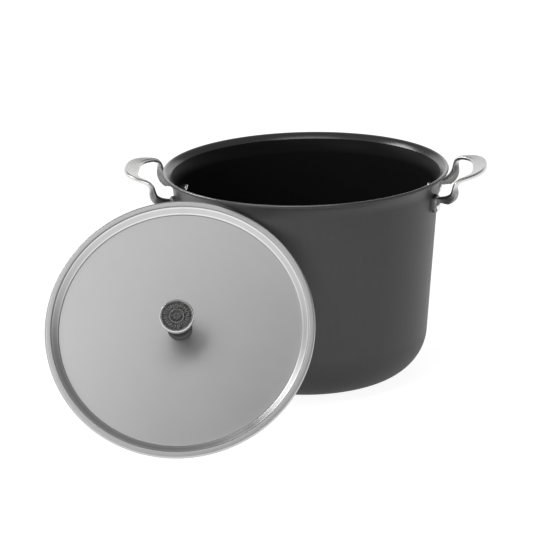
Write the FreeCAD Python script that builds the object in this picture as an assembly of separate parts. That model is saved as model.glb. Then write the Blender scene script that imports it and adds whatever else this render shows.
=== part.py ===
"""Brew kettle: a flared pot with two riveted loop handles, and its lid leaning against the wall.

Origin: centre of the pot's foot, on the table. +Z is up, the handles lie along X,
and the lid leans against the front (-Y) of the pot, left of its axis. Millimetres.
"""
import FreeCAD
import Part

import math
import os

from FreeCAD import Placement, Rotation, Vector

# --- pot wall -----------------------------------------------------------------
kettle_height = 224.0      # table to the highest point of the lip
rim_radius = 150.5         # outer edge of the lip
flare_width = 10.2         # lip beyond the line where wall and flare meet, outside
foot_radius = 120.9        # where the wall's line meets the table, outside
foot_round = 51.0          # outside rounding between wall and base
neck_round = 20.0          # outside rounding between wall and flare
flare_angle = 60.0         # flare, from the vertical
wall_thickness = 4.8
base_thickness = 6.0
lip_thickness = 3.6        # the flare is drawn thinner than the wall
lip_round = 1.4

# --- handles ------------------------------------------------------------------
grip_overhang = 32.0       # lip to the middle of the grip's strap
grip_lift = -0.9           # middle of the grip above the lip
grip_width = 15.5          # strap width across the middle of the grip
grip_thickness = 5.0
grip_dish = 14.0           # the grip's top face rises outwards, degrees
side_overhang = 19.0       # strap at the sides of the loop
side_half_span = 41.5      # from the XZ plane
side_drop = 1.3            # below the middle of the grip
side_width = 9.0
side_thickness = 4.6
side_dish = 9.0
side_facing = 40.0         # azimuth of the strap's outer edge there, degrees
shoulder_overhang = 7.6    # where the strap turns down into a leg
shoulder_half_span = 48.5
shoulder_drop = 6.0
shoulder_width = 5.8
shoulder_thickness = 5.2
shoulder_facing = 80.0
knee_overhang = 5.7        # the leg turns back in towards the pot
knee_half_span = 46.0
knee_drop = 17.0
knee_width = 7.4
knee_thickness = 8.2
ankle_gap = 6.5            # leg just outside its pad
ankle_rise = 6.6           # and above its rivet
ankle_width = 8.2
ankle_thickness = 9.0
landing_rise = 4.4         # strap's end above the rivet, in the pad
strap_round = 1.9          # rounding of the strap's long edges
foot_angle = 14.5          # rivets on each side of the handle's own axis, degrees
rivet_drop = 33.0          # rivets below the lip
pad_width = 12.6
pad_above = 12.5           # pad above and below its rivet
pad_below = 7.5
pad_thickness = 5.0
pad_round = 6.0
pad_edge = 1.4

# --- rivets -------------------------------------------------------------------
rivet_radius = 2.4
rivet_hole_clearance = 0.1
outer_head_radius = 5.0
outer_head_height = 2.8
inner_head_radius = 5.6
inner_head_height = 3.2
head_edge = 0.6            # straight edge of a rivet head below its dome
head_access = 0.8          # clear ring round an outer head, cut into the leg

# --- lid ----------------------------------------------------------------------
lid_seat = 1.2             # lid's edge beyond the line of the inner wall, on the flare
sheet_thickness = 1.2
flange_width = 6.6         # flat border of the lid
step_width = 7.2           # sloping step between border and sunk disc
dish_depth = 5.6           # border to the edge of the sunk disc
crown_height = 2.0         # the sunk disc rises this much to its middle
knob_seat_radius = 14.5    # flat middle of the crown, where the knob stands
sheet_bend = 2.0           # inside bend of the pressed sheet
hem_drop = 2.8             # the border's edge is turned down by this much
hem_bend = 0.9

# --- knob ---------------------------------------------------------------------
knob_height = 41.0
knob_base_radius = 12.5
knob_base_height = 2.6
knob_waist_radius = 8.2
knob_cap_radius = 17.4
knob_cap_height = 5.4      # side of the cap, its bevel with it
knob_underside = 9.0       # height over which the waist opens out to the cap
knob_bevel = 0.8
knob_border = 0.5          # bright ring round the medallion
knob_edge = 0.5
waist_round = 9.0
medallion_recess = 1.2
medallion_thickness = 1.0
medallion_clearance = 0.15
medallion_ring = 0.9       # raised border of the medallion
medallion_relief = 0.4
screw_radius = 2.5
screw_clearance = 0.15
screw_reach = 20.0         # length in the knob
screw_head_radius = 5.0
screw_head_height = 2.6
screw_head_edge = 1.2
washer_radius = 7.5
washer_thickness = 1.0

# --- how the lid leans --------------------------------------------------------
lean_angle = 53.7          # lid's tilt from lying flat, degrees
lean_sideways = 119.5      # lid's middle, left of the pot's axis
lean_gap = 0.35            # between lid and pot, and between lid and table
lean_tolerance = 0.02

Z_AXIS = Vector(0, 0, 1)
ORIGIN = Vector(0, 0, 0)


# --- outlines and solids of revolution ----------------------------------------
def rounded_outline(corners):
    """A face in the XZ plane from (x, z, rounding) corners, rounded by tangent arcs."""
    points = [Vector(x, 0, z) for x, z, _ in corners]
    edges = []
    spans = []
    for index, corner in enumerate(points):
        rounding = corners[index][2]
        to_last = (points[index - 1] - corner).normalize()
        to_next = (points[(index + 1) % len(points)] - corner).normalize()
        half_angle = to_last.getAngle(to_next) / 2
        reach = rounding / math.tan(half_angle)
        span = (corner + to_last * reach, corner + to_next * reach)
        spans.append(span)
        if rounding:
            inward = (to_last + to_next).normalize()
            middle = corner + inward * (rounding / math.sin(half_angle) - rounding)
            edges.append(Part.Arc(span[0], middle, span[1]).toShape())
    for index, (start, _) in enumerate(spans):
        edges.append(Part.makeLine(spans[index - 1][1], start))
    return Part.Face(Part.Wire(Part.__sortEdges__(edges)))


def turned(corners):
    """The solid of revolution about Z of a rounded outline."""
    return rounded_outline(corners).revolve(ORIGIN, Z_AXIS, 360)


def crossing(first, second):
    """Where two lines in the XZ plane meet, each given by two (x, z) points."""
    (ax, az), (bx, bz) = first
    (cx, cz), (dx, dz) = second
    ux, uz, vx, vz = bx - ax, bz - az, dx - cx, dz - cz
    share = ((cx - ax) * vz - (cz - az) * vx) / (ux * vz - uz * vx)
    return ax + share * ux, az + share * uz


def offset_line(line, distance):
    """A line moved sideways, to the left of its direction in the XZ plane."""
    (ax, az), (bx, bz) = line
    length = math.hypot(bx - ax, bz - az)
    shift_x = -(bz - az) / length * distance
    shift_z = (bx - ax) / length * distance
    return (ax + shift_x, az + shift_z), (bx + shift_x, bz + shift_z)


def offset_chain(points, distance):
    """The inner corners and ends of an open chain of lines moved sideways."""
    lines = [offset_line(pair, distance) for pair in zip(points, points[1:])]
    corners = [crossing(*pair) for pair in zip(lines, lines[1:])]
    return [lines[0][0]] + corners + [lines[-1][1]]


# --- pot ----------------------------------------------------------------------
flare = math.radians(flare_angle)
lip_height = kettle_height - lip_thickness * math.sin(flare)
neck_radius = rim_radius - flare_width
neck_height = lip_height - flare_width / math.tan(flare)
wall_line = ((foot_radius, 0), (neck_radius, neck_height))
flare_line = ((neck_radius, neck_height), (rim_radius, lip_height))
inner_wall_line = offset_line(wall_line, wall_thickness)
inner_flare_line = offset_line(flare_line, lip_thickness)
floor_line = ((0, base_thickness), (foot_radius, base_thickness))
inner_foot = crossing(inner_wall_line, floor_line)
inner_neck = crossing(inner_wall_line, inner_flare_line)
wall_tilt = math.atan2(neck_radius - foot_radius, neck_height)
rivet_height = kettle_height - rivet_drop


def pot_envelope():
    """The pot as if it were full to its neck: what its outer face bounds."""
    return turned([
        (0, 0, 0),
        (foot_radius, 0, foot_round),
        (neck_radius, neck_height, neck_round),
        (rim_radius, lip_height, 0),
        (0, lip_height, 0),
    ])


def pot_wall():
    """Base, wall and flared lip in one revolved section."""
    inner_lip = inner_flare_line[1]
    return turned([
        (0, 0, 0),
        (foot_radius, 0, foot_round),
        (neck_radius, neck_height, neck_round),
        (rim_radius, lip_height, lip_round),
        (*inner_lip, lip_round),
        (*inner_neck, neck_round + wall_thickness),
        (*inner_foot, foot_round - wall_thickness),
        (0, base_thickness, 0),
    ])


def rivet_placement(azimuth):
    """On the outer wall at a rivet: local Z out of the wall, local Y up along it."""
    share = rivet_height / neck_height
    radius = foot_radius + (neck_radius - foot_radius) * share
    direction = Vector(math.cos(azimuth), math.sin(azimuth), 0)
    outward = direction * math.cos(wall_tilt) - Z_AXIS * math.sin(wall_tilt)
    upward = direction * math.sin(wall_tilt) + Z_AXIS * math.cos(wall_tilt)
    turn = Rotation(upward.cross(outward), upward, outward, "ZXY")
    return Placement(direction * radius + Z_AXIS * rivet_height, turn)


def rivet_azimuths(side):
    """Azimuths of a handle's front and back rivet; side is 1 for +X and -1 for -X."""
    middle = 0 if side > 0 else math.pi
    spread = math.radians(foot_angle) * side
    return {"front": middle - spread, "back": middle + spread}


def placed(shape, placement):
    """A shape moved from its own frame to its place."""
    moved = shape.copy()
    moved.Placement = placement.multiply(moved.Placement)
    return moved


def rivet_hole(azimuth):
    """The hole through wall and handle foot."""
    length = wall_thickness + pad_thickness
    hole = Part.makeCylinder(rivet_radius + rivet_hole_clearance, 4 * length, Vector(0, 0, -2 * length))
    return placed(hole, rivet_placement(azimuth))


def rivet_access(azimuth):
    """The space over a rivet's outer head that its setting tool needs."""
    reach = 4 * outer_head_height
    access = Part.makeCylinder(outer_head_radius + head_access, reach, Vector(0, 0, pad_thickness))
    return placed(access, rivet_placement(azimuth))


def rivet(azimuth, wall):
    """One rivet: shank, domed head on the handle's foot, flatter head inside the pot."""
    inside = -wall_thickness
    outside = pad_thickness
    outer_dome = outer_head_height - head_edge
    inner_dome = inner_head_height - head_edge
    inner_head = turned([
        (0, inside - inner_head_height, 0),
        (inner_head_radius, inside - inner_head_height, inner_dome),
        (inner_head_radius, inside + head_edge, 0),
        (0, inside + head_edge, 0),
    ])
    shank_and_head = turned([
        (0, inside - head_edge, 0),
        (rivet_radius, inside - head_edge, 0),
        (rivet_radius, outside, 0),
        (outer_head_radius, outside, 0),
        (outer_head_radius, outside + outer_head_height, outer_dome),
        (0, outside + outer_head_height, 0),
    ])
    place = rivet_placement(azimuth)
    seated_head = placed(inner_head, place).cut(wall)
    return seated_head.fuse(placed(shank_and_head, place)).removeSplitter()


# --- handles ------------------------------------------------------------------
def rounded_rectangle(width, height, rounding, shift=0):
    """A face in the XZ plane, its middle shifted along Z."""
    low, high = shift - height / 2, shift + height / 2
    half = width / 2
    return rounded_outline([
        (-half, low, rounding), (half, low, rounding), (half, high, rounding), (-half, high, rounding),
    ])


def strap_stations():
    """One half of the strap, side to foot: (place, facing, width, thickness, dish)."""
    grip_height = kettle_height + grip_lift
    foot = rivet_placement(math.radians(foot_angle))
    foot_facing = 90 + foot_angle
    side = Vector(rim_radius + side_overhang, side_half_span, grip_height - side_drop)
    shoulder = Vector(rim_radius + shoulder_overhang, shoulder_half_span, grip_height - shoulder_drop)
    knee = Vector(rim_radius + knee_overhang, knee_half_span, grip_height - knee_drop)
    ankle = foot.multVec(Vector(0, ankle_rise, pad_thickness + ankle_gap))
    landing = foot.multVec(Vector(0, landing_rise, pad_thickness / 2))
    return [
        (side, side_facing, side_width, side_thickness, side_dish),
        (shoulder, shoulder_facing, shoulder_width, shoulder_thickness, 0),
        (knee, foot_facing, knee_width, knee_thickness, 0),
        (ankle, foot_facing, ankle_width, ankle_thickness, 0),
        (landing, foot_facing, ankle_width, ankle_thickness, 0),
    ]


def handle_strap():
    """The cast loop: sections lofted from foot to foot round the grip."""
    half = strap_stations()
    grip = Vector(rim_radius + grip_overhang, 0, kettle_height + grip_lift)
    mirrored = [(Vector(p.x, -p.y, p.z), -facing, *rest) for p, facing, *rest in reversed(half)]
    stations = mirrored + [(grip, 0, grip_width, grip_thickness, grip_dish)] + half
    path = Part.BSplineCurve()
    path.interpolate([station[0] for station in stations])
    sections = []
    for place, facing, width, thickness, dish in stations:
        along = Vector(*path.tangent(path.parameter(place))[0])
        outer_side = Rotation(Z_AXIS, facing).multVec(Vector(1, 0, 0))
        across = outer_side - along * along.dot(outer_side)
        raised = Rotation(along, -dish).multVec(across)
        section = rounded_rectangle(width, thickness, strap_round).OuterWire
        section.Placement = Placement(place, Rotation(raised, along, raised.cross(along), "YXZ"))
        sections.append(section)
    return Part.makeLoft(sections, True)


def handle_pad(azimuth):
    """The foot's oval pad, from inside the wall to its flat outer face."""
    height = pad_above + pad_below
    face = rounded_rectangle(pad_width, height, pad_round, (pad_above - pad_below) / 2)
    depth = wall_thickness + pad_thickness
    pad = face.extrude(Vector(0, -depth, 0))
    front_edges = [edge for edge in pad.Edges if edge.BoundBox.YMax < -depth + pad_edge]
    pad = pad.makeFillet(pad_edge, front_edges)
    pad.Placement = Placement(Vector(0, 0, -wall_thickness), Rotation(Vector(1, 0, 0), -90))
    return placed(pad, rivet_placement(azimuth))


def handle(side):
    """A loop handle with two riveted feet; side is 1 for +X and -1 for -X."""
    strap = handle_strap()
    if side < 0:
        strap.rotate(ORIGIN, Z_AXIS, 180)
    azimuths = rivet_azimuths(side).values()
    pads = [handle_pad(azimuth) for azimuth in azimuths]
    holes = [rivet_hole(azimuth) for azimuth in azimuths]
    strap = strap.cut([rivet_access(azimuth) for azimuth in azimuths])
    return strap.fuse(pads).cut([pot_envelope()] + holes).removeSplitter()


# --- lid, in its own frame: border at Z = 0, knob upwards -----------------------
lid_radius = inner_neck[0] + lid_seat
step_radius = lid_radius - flange_width
dish_radius = step_radius - step_width
dish_middle = crown_height - dish_depth
outer_bend = sheet_bend + sheet_thickness
crown_half = (dish_radius - knob_seat_radius) / 2
crown_angle = math.atan2(crown_height, crown_half)
crown_round = (crown_half - 2 * outer_bend) / math.tan(crown_angle / 2)
sheet_line = [
    (0, dish_middle), (knob_seat_radius + crown_half, dish_middle), (dish_radius, -dish_depth),
    (step_radius, 0), (lid_radius, 0), (lid_radius, -hem_drop),
]


def lid_pan():
    """The pressed lid sheet with its hole for the knob's screw."""
    under_line = offset_chain(sheet_line, -sheet_thickness)
    top_rounds = [0, crown_round, sheet_bend, outer_bend, hem_bend + sheet_thickness, 0]
    under_rounds = [0, crown_round - sheet_thickness, outer_bend, sheet_bend, hem_bend, 0]
    top = [(x, z, r) for (x, z), r in zip(sheet_line, top_rounds)]
    under = [(x, z, r) for (x, z), r in zip(under_line, under_rounds)]
    hole = Part.makeCylinder(screw_radius + screw_clearance, 2 * dish_depth + sheet_thickness,
                             Vector(0, 0, -2 * dish_depth))
    return turned(top + under[::-1]).cut(hole)


def lid_knob():
    """The turned knob: foot, waist and recessed cap, with a blind hole for its screw."""
    cap_low = knob_height - knob_cap_height
    recess_radius = knob_cap_radius - knob_bevel - knob_border
    recess_floor = knob_height - medallion_recess
    border_radius = knob_cap_radius - knob_bevel
    knob = turned([
        (0, 0, 0),
        (knob_base_radius, 0, 0),
        (knob_base_radius, knob_base_height, knob_edge),
        (knob_waist_radius, knob_base_height + knob_base_radius - knob_waist_radius, waist_round),
        (knob_waist_radius, cap_low - knob_underside, waist_round),
        (knob_cap_radius, cap_low, knob_edge),
        (knob_cap_radius, knob_height - knob_bevel, knob_edge),
        (border_radius, knob_height, knob_edge / 2),
        (recess_radius, knob_height, 0),
        (recess_radius, recess_floor, 0),
        (0, recess_floor, 0),
    ])
    bore = Part.makeCylinder(screw_radius + screw_clearance, screw_reach + screw_radius)
    knob = knob.cut(bore)
    knob.translate(Vector(0, 0, dish_middle))
    return knob


def knob_medallion():
    """A plain disc with a raised border, set in the cap's recess."""
    radius = knob_cap_radius - knob_bevel - knob_border - medallion_clearance
    floor = dish_middle + knob_height - medallion_recess
    top = floor + medallion_thickness
    ring = radius - medallion_ring
    return turned([
        (0, floor, 0), (radius, floor, 0), (radius, top, medallion_ring / 4),
        (ring, top, 0), (ring, top - medallion_relief, 0), (0, top - medallion_relief, 0),
    ])


def knob_washer():
    """A flat washer against the lid's underside."""
    top = dish_middle - sheet_thickness
    inner = screw_radius + screw_clearance
    low = top - washer_thickness
    return turned([(inner, low, 0), (washer_radius, low, 0), (washer_radius, top, 0), (inner, top, 0)])


def knob_screw():
    """A domed-head screw from below, through washer and lid into the knob."""
    seat = dish_middle - sheet_thickness - washer_thickness
    dome = screw_head_height - screw_head_edge
    return turned([
        (0, seat - screw_head_height, 0),
        (screw_head_radius - dome, seat - screw_head_height, dome),
        (screw_head_radius, seat - screw_head_edge, 0),
        (screw_head_radius, seat, 0),
        (screw_radius, seat, 0),
        (screw_radius, dish_middle + screw_reach, 0),
        (0, dish_middle + screw_reach, 0),
    ])


# --- the lid's lean -------------------------------------------------------------
def leaning_placement(pot, pan):
    """Tilt the lid, stand it on the table, and slide it towards the pot until it is close."""
    tilt = math.radians(lean_angle)
    rise = lid_radius * math.sin(tilt) + hem_drop * math.cos(tilt) + lean_gap
    turn = Rotation(Vector(1, 0, 0), lean_angle)
    place = Vector(-lean_sideways, -rim_radius - 2 * lid_radius, rise)
    gap = placed(pan, Placement(place, turn)).distToShape(pot)[0]
    while gap > lean_gap + lean_tolerance:
        place.y += gap - lean_gap
        gap = placed(pan, Placement(place, turn)).distToShape(pot)[0]
    return Placement(place, turn)


def build():
    """Every node of the kettle by name."""
    wall = pot_wall()
    rivets = {}
    holes = []
    for side, side_name in ((-1, "left"), (1, "right")):
        for end_name, azimuth in rivet_azimuths(side).items():
            rivets[f"{side_name}_{end_name}_rivet"] = rivet(azimuth, wall)
            holes.append(rivet_hole(azimuth))
    nodes = {
        "kettle_body": wall.cut(holes),
        "left_handle": handle(-1),
        "right_handle": handle(1),
        **rivets,
    }
    lid_pieces = {
        "lid_pan": lid_pan(),
        "lid_knob": lid_knob(),
        "knob_medallion": knob_medallion(),
        "knob_washer": knob_washer(),
        "knob_screw": knob_screw(),
    }
    lean = leaning_placement(pot_envelope(), lid_pieces["lid_pan"])
    for name, shape in lid_pieces.items():
        nodes[name] = placed(shape, lean)
    return nodes


os.makedirs("parts", exist_ok=True)
for node, shape in build().items():
    shape.exportStep(f"parts/{node}.step")
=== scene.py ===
"""The brew kettle as it stands in the studio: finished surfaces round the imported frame.

Millimetres in the tables below, metres in every mesh. +Z is up, the handles lie along X,
and the lid leans against the front (-Y) of the pot, left of its axis.
"""

import math

import bmesh
import bpy
from mathutils import Matrix, Vector


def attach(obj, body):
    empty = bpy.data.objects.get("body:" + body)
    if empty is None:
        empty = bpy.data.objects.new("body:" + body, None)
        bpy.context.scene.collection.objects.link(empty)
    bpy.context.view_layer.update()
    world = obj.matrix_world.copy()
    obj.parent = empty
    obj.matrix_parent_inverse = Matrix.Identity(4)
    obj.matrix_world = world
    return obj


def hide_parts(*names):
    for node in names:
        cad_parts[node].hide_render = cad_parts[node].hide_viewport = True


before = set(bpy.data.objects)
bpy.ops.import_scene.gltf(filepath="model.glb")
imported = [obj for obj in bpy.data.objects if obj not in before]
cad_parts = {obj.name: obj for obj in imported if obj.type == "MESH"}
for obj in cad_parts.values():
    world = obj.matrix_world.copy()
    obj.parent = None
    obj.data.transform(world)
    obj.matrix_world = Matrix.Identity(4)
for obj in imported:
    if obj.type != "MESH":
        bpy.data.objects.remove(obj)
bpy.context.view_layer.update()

MM = 0.001
CLEARANCE = 0.15

# --- sizes of the pot ----------------------------------------------------------------
KETTLE_HEIGHT = 224.0
RIM_RADIUS = 150.5
FLARE_WIDTH = 10.2
NECK_RADIUS = RIM_RADIUS - FLARE_WIDTH
FOOT_RADIUS = 120.9
FOOT_ROUND = 51.0
NECK_ROUND = 20.0
FLARE_ANGLE = math.radians(60)
WALL = 4.8
BASE = 6.0
LIP = 3.6
LIP_ROUND = 1.4
LIP_HEIGHT = KETTLE_HEIGHT - LIP * math.sin(FLARE_ANGLE)
NECK_HEIGHT = LIP_HEIGHT - (RIM_RADIUS - NECK_RADIUS) / math.tan(FLARE_ANGLE)
WALL_TILT = math.atan2(NECK_RADIUS - FOOT_RADIUS, NECK_HEIGHT)
COATING_RISE = 1.3              # the coating ends this far above the neck

# --- sizes of the handles ------------------------------------------------------------
# half the strap from its grip down: beyond the lip, from the XZ plane, above the lip
GRIP = (32.0, 0.0, -0.9)
SIDE = (19.0, 41.5, -2.2)
SHOULDER = (7.6, 48.5, -6.9)
KNEE = (5.7, 46.0, -17.9)
ANKLE_GAP = 6.5                 # out from the pad
ANKLE_RISE = 6.6                # up from the rivet
LANDING_RISE = 4.4              # up from the rivet
FOOT_ANGLE = 14.5
FOOT_SPREAD = math.radians(FOOT_ANGLE)
RIVET_DROP = 33.0
PAD = {"width": 12.6, "above": 12.5, "below": 7.5, "thickness": 5.0, "round": 6.0, "edge": 1.4}
# width, thickness, dish in degrees, azimuth of the outer edge in degrees
STRAP_FORM = [
    (15.5, 5.0, 14.0, 0.0),
    (9.0, 4.6, 9.0, 40.0),
    (5.8, 5.2, 0.0, 80.0),
    (7.4, 8.2, 0.0, 90.0 + FOOT_ANGLE),
    (8.2, 9.0, 0.0, 90.0 + FOOT_ANGLE),
    (8.2, 9.0, 0.0, 90.0 + FOOT_ANGLE),
]
STRAP_ROUND = 1.9
STRAP_SECTIONS = 61
SEAT_SPAN = (150.0, 205.0)      # the stretch of wall that the feet are seated on
CASTING_VOXEL = 0.55

# --- sizes of the rivets: radius and height of each head -----------------------------
RIVET_RADIUS = 2.4
OUTER_HEAD = (5.0, 2.8)
INNER_HEAD = (5.6, 3.2)
HEAD_EDGE = 0.6
HEAD_ACCESS = 0.8               # room in the leg round an outer head

# --- sizes of the lid ----------------------------------------------------------------
LID_RADIUS = 136.811
SHEET = 1.2
FLANGE_WIDTH = 6.6
STEP_WIDTH = 7.2
STEP_OUTSIDE = LID_RADIUS - FLANGE_WIDTH
STEP_INSIDE = STEP_OUTSIDE - STEP_WIDTH
DISH_DEPTH = 5.6
CROWN_HEIGHT = 2.0
KNOB_SEAT = 14.5
SHEET_BEND = 2.0
HEM_DROP = 2.8
HEM_BEND = 0.9
HEM_EDGE = 0.25
DISH_MIDDLE = CROWN_HEIGHT - DISH_DEPTH
LEAN_ANGLE = math.radians(53.7)
LEAN_PLACE = Vector((-119.5, -202.753, 112.268)) * MM

# --- sizes of the knob and what holds it ---------------------------------------------
KNOB_HEIGHT = 41.0
KNOB_BASE = (12.5, 2.6)         # radius, height
KNOB_WAIST = 8.2
CAP_RADIUS = 17.4
CAP_HEIGHT = 5.4
CAP_FOOT = DISH_MIDDLE + KNOB_HEIGHT - CAP_HEIGHT
CAP_UNDERSIDE = 9.0
CAP_BEVEL = 0.8
CAP_BORDER = 0.5
RECESS = 1.2
SCREW_RADIUS = 2.5
SCREW_HOLE = SCREW_RADIUS + CLEARANCE
SCREW_REACH = 20.0
SCREW_HEAD = (5.0, 2.6)         # radius, height
SCREW_HEAD_EDGE = 1.4
SCREW_FLANK = 1.2               # the straight side of its head
DRIVE_ARM = (6.0, 1.1, 3.2)
BORE_TOP = 22.5
WASHER_RADIUS = 7.5
WASHER_THICKNESS = 1.0

MEDALLION_RADIUS = CAP_RADIUS - CAP_BEVEL - CAP_BORDER - CLEARANCE
MEDALLION_THICKNESS = 1.0
MEDALLION_BORDER = 0.9
MEDALLION_FOOT = DISH_MIDDLE + KNOB_HEIGHT - RECESS
MEDALLION_TOP = MEDALLION_FOOT + MEDALLION_THICKNESS
MEDALLION_CREST = MEDALLION_TOP - 0.1
MEDALLION_FIELD = MEDALLION_TOP - 0.4
MEDALLION_RINGS = (             # each raised ring: outer foot and crest, inner crest and foot
    (7.6, 7.4, 6.7, 6.5),
    (3.2, 3.0, 2.3, 2.1),
)
BAR_COUNT = 30
BAR_CIRCLE = 11.0
BAR_SIZE = (3.0, 0.8, 0.32)
BAR_SUNK = 0.02
BAR_EDGE = 0.1

# --- where finishes, painted light and painted shade give way to one another (heights in metres) ---
FOOT_SHADE_HEIGHT = 0.05           # painted shade: the pot is painted darker from this height down to its foot
LEG_TOP = 0.214                 # above this height the handles are brushed and carry a painted highlight
LEG_FOOT = 0.200                # below this height their legs and pads carry the darkest painted shade
LIP_TURN = 0.55                 # the lip is burnished where its normal points up more than this
LIP_START = (RIM_RADIUS - LIP - 0.2) * MM
SHEET_POLISH = 0.45
STEP_MARGIN = 2.0               # how far the step's painted light reaches past the step, either side
STEP_PAINTED_LIGHT = (                 # painted light across the lid's pressed step, from its disc to its flange: painted shade in both creases, painted highlights beside them, a lighter middle
    (0.10, SHEET_POLISH), (0.18, 0.05), (0.26, 1.0), (0.36, 0.58),
    (0.64, 0.58), (0.74, 1.0), (0.82, 0.05), (0.90, SHEET_POLISH),
)

# --- studio --------------------------------------------------------------------------
ROOM_LEVEL = 0.20
PAPER_TONE = 0.55
COVE_FILL = 0.91
COVE_RADIUS = 10000
COVE_SWEEP = 1200
COVE_WALL = 4300
# name, place and aim in metres, width and height in metres, power in watts
SOFTBOXES = (
    ("key_softbox", (-1.4, -1.6, 2.0), (-0.1, -0.1, 0.1), 1.5, 1.5, 14.5),
    ("top_softbox", (0.0, -0.9, 2.3), (0, 0, 0.1), 1.4, 0.9, 5),
    ("side_softbox", (-1.6, 0.6, 1.5), (0.09, 0.12, 0.22), 0.8, 0.8, 9),
)
PHOTO_WIDTH = 533
FOCAL_PIXELS = 3789.67
SENSOR_WIDTH = 36.0
CAMERA_DISTANCE = 4.0
CAMERA_ELEVATION = math.radians(16.6206)
CAMERA_TURN = math.radians(3.0)
CAMERA_PAN = math.radians(0.61943)
CAMERA_TILT = math.radians(0.06044)
CAMERA_ROLL = math.radians(1.19992)
AIM_HEIGHT = 0.111811


# --- modelling helpers ---------------------------------------------------------------
def deselect_all():
    bpy.ops.object.select_all(action="DESELECT")


def make_active(piece):
    deselect_all()
    piece.select_set(True)
    bpy.context.view_layer.objects.active = piece


def edit(piece, kind="VERT"):
    make_active(piece)
    bpy.ops.object.mode_set(mode="EDIT")
    bpy.ops.mesh.select_mode(type=kind)


def leave_edit():
    bpy.ops.object.mode_set(mode="OBJECT")


def select_mesh():
    bpy.ops.mesh.select_all(action="SELECT")


def face_outwards():
    """Turn every face outwards, and leave edit mode."""
    select_mesh()
    bpy.ops.mesh.normals_make_consistent(inside=False)
    leave_edit()


def pick(test, kind="verts"):
    """In edit mode, select just the vertices, edges or faces that pass a test."""
    bpy.ops.mesh.select_all(action="DESELECT")
    shape = bmesh.from_edit_mesh(bpy.context.object.data)
    for element in getattr(shape, kind):
        if test(element):
            element.select_set(True)
    shape.select_flush_mode()
    bmesh.update_edit_mesh(bpy.context.object.data)


def start_square():
    """A unit square in the XY plane, in edit mode with all of it selected."""
    deselect_all()
    bpy.ops.mesh.primitive_plane_add(size=1)
    piece = bpy.context.object
    edit(piece)
    select_mesh()
    return piece


def apply_place(piece):
    """Put a piece's place, turn and size into its mesh."""
    make_active(piece)
    bpy.ops.object.transform_apply(location=True, rotation=True, scale=True)
    return piece


def settle(piece, matrix):
    """Carry a piece to its place and leave its object at the origin."""
    piece.matrix_world = matrix
    return apply_place(piece)


def start_block(size, place):
    """A block of a size round a place, both in millimetres."""
    deselect_all()
    bpy.ops.mesh.primitive_cube_add(size=1, location=[value * MM for value in place])
    piece = bpy.context.object
    piece.scale = [side * MM for side in size]
    return apply_place(piece)


def in_section(point):
    """An (x, z) point in millimetres as a place in the XZ plane."""
    return Vector((point[0] * MM, 0, point[1] * MM))


def outline(name, corners, closed=False, steps=8):
    """Draw edges through (x, z, rounding) corners and round each, in steps per 45 degrees."""
    piece = start_square()
    piece.name = name
    bpy.ops.mesh.merge(type="CENTER")
    places = [in_section(corner) for corner in corners]
    bpy.ops.transform.translate(value=places[0])
    ring = places[1:] + places[:1] if closed else places[1:]
    last = places[0]
    for place in ring:
        bpy.ops.mesh.extrude_region_move(TRANSFORM_OT_translate={"value": place - last})
        last = place
    select_mesh()
    bpy.ops.mesh.remove_doubles(threshold=1e-7)
    for index, corner in enumerate(corners):
        rounding = corner[2] * MM
        if not rounding:
            continue
        here = places[index]
        to_last = (places[index - 1] - here).normalized()
        to_next = (places[(index + 1) % len(places)] - here).normalized()
        half_angle = to_last.angle(to_next) / 2
        turn = math.pi - 2 * half_angle
        pick(lambda vertex: (vertex.co - here).length < 1e-6)
        bpy.ops.mesh.bevel(
            offset=rounding / math.tan(half_angle),
            segments=max(2, round(steps * turn / math.radians(45))),
            affect="VERTICES",
        )
    return piece


def turn_round(segments):
    """Spin the outline in edit mode about Z into a closed skin."""
    select_mesh()
    bpy.ops.mesh.spin(steps=segments, angle=math.tau, center=(0, 0, 0), axis=(0, 0, 1))
    select_mesh()
    bpy.ops.mesh.remove_doubles(threshold=2e-6)
    face_outwards()


def smooth_below(piece, degrees):
    """Smooth shading over every edge that turns by less than this."""
    make_active(piece)
    bpy.ops.object.shade_smooth_by_angle(angle=math.radians(degrees))


def turned(name, corners, segments, closed=False, steps=8):
    piece = outline(name, corners, closed, steps)
    turn_round(segments)
    smooth_below(piece, degrees=35)
    return piece


def own_copy(piece, name):
    twin = piece.copy()
    twin.data = piece.data.copy()
    twin.name = name
    bpy.context.collection.objects.link(twin)
    return twin


def join(pieces, name):
    make_active(pieces[0])
    for piece in pieces:
        piece.select_set(True)
    bpy.ops.object.join()
    pieces[0].name = name
    return pieces[0]


def apply_modifier(piece, kind, **values):
    make_active(piece)
    modifier = piece.modifiers.new(kind.lower(), kind)
    for key, value in values.items():
        setattr(modifier, key, value)
    bpy.ops.object.modifier_apply(modifier=modifier.name)


def cut_away(piece, cutter):
    apply_modifier(piece, "BOOLEAN", operation="DIFFERENCE", solver="EXACT", object=cutter)
    bpy.data.objects.remove(cutter)


def dress(piece, *materials):
    piece.data.materials.clear()
    for material in materials:
        piece.data.materials.append(material)


def belongs(piece, body, slot, *nodes):
    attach(piece, body)
    if nodes:
        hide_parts(*nodes)


# --- nodes that the finishes are made of ---------------------------------------------
FLOAT = "NodeSocketFloat"
VECTOR = "NodeSocketVector"
NOISE_SPAN = (0.3, 0.7)         # nearly all of a noise lies between these
STREAK_SPAN = (0.35, 0.65)


def grey(level):
    return (level,) * 3


def add_node(tree, kind, **inputs):
    node = tree.nodes.new(kind)
    for key, value in inputs.items():
        node.inputs[key.replace("_", " ")].default_value = value
    return node


def link(tree, source, target):
    tree.links.new(source, target)


def maths(tree, operation, first, second=None):
    node = tree.nodes.new("ShaderNodeMath")
    node.operation = operation
    for socket, value in zip(node.inputs, (first, second)):
        if value is None:
            continue
        if isinstance(value, (int, float)):
            socket.default_value = value
        else:
            link(tree, value, socket)
    return node.outputs[0]


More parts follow.
